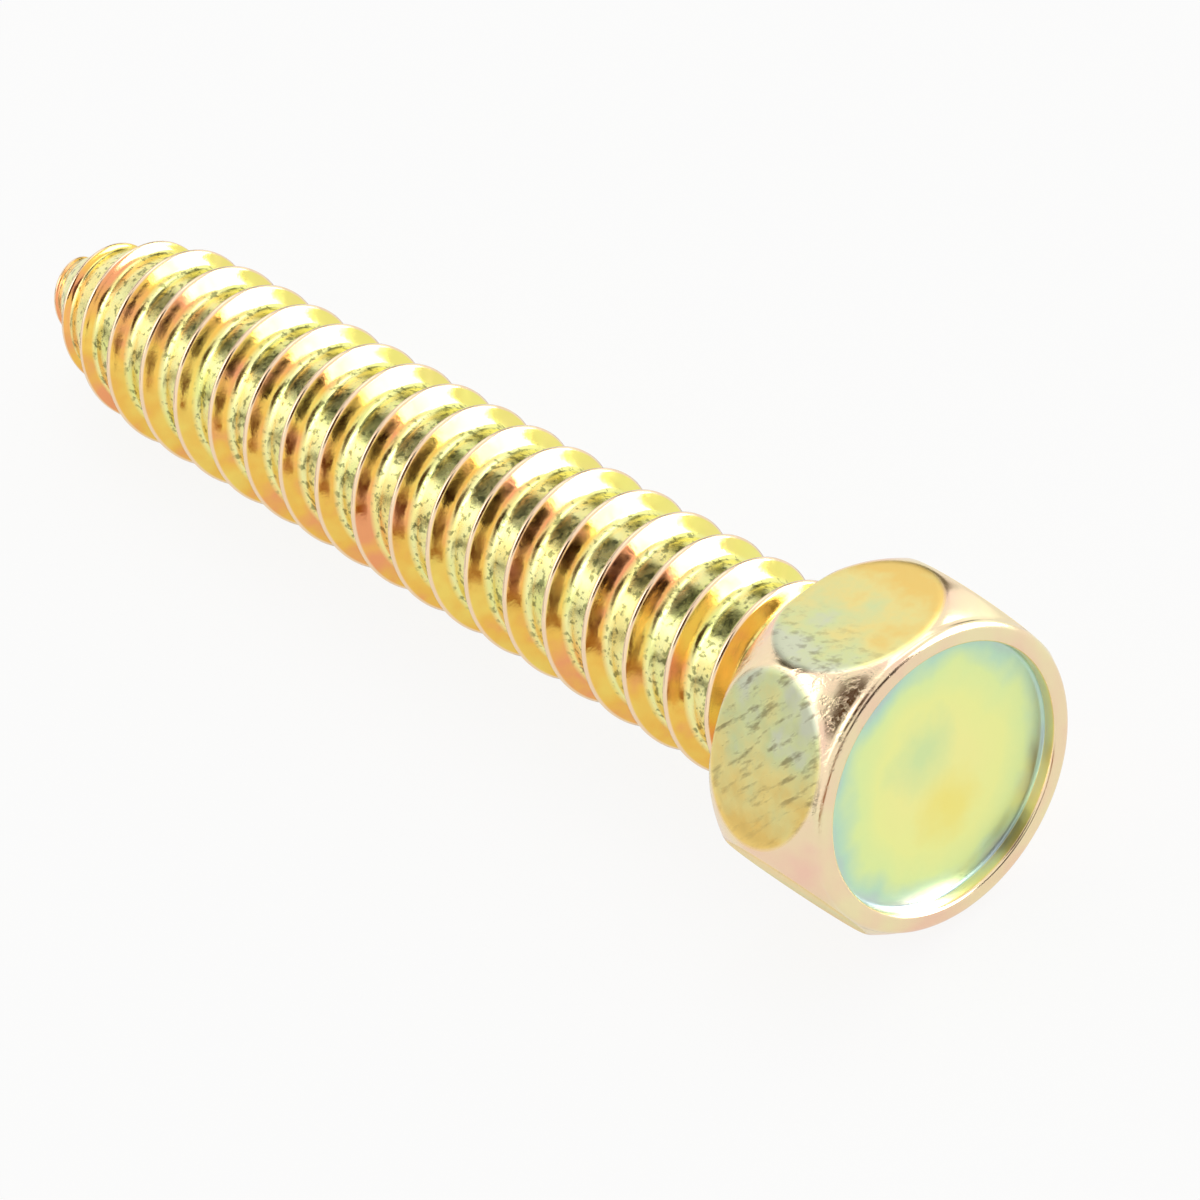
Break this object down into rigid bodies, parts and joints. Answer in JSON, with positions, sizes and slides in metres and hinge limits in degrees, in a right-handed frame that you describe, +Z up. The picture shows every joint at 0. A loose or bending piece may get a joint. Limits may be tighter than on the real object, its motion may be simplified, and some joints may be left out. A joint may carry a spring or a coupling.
{
  "type": "sheet metal screw",
  "caption": "Hex head sheet metal screw with a shallow recess in its head and a pointed self-tapping thread, lying on its side.",
  "frame": {"origin": "centre of the bearing face under the head, on the screw's axis", "axes": "+X towards the head and close to the screw's axis, which rises 2.9 degrees from the floor towards the head's top; +Z up with the screw lying as it comes to rest, on one flat of its head and on its thread; +Y across"},
  "size_m": [0.0427, 0.0106, 0.0096],
  "materials": {
    "plated_steel": "yellow chromated zinc plating on carbon steel, with faint iridescence and fine forming marks"
  },
  "bodies": {
    "root": {"screw": "plated_steel"}
  },
  "joints": []
}
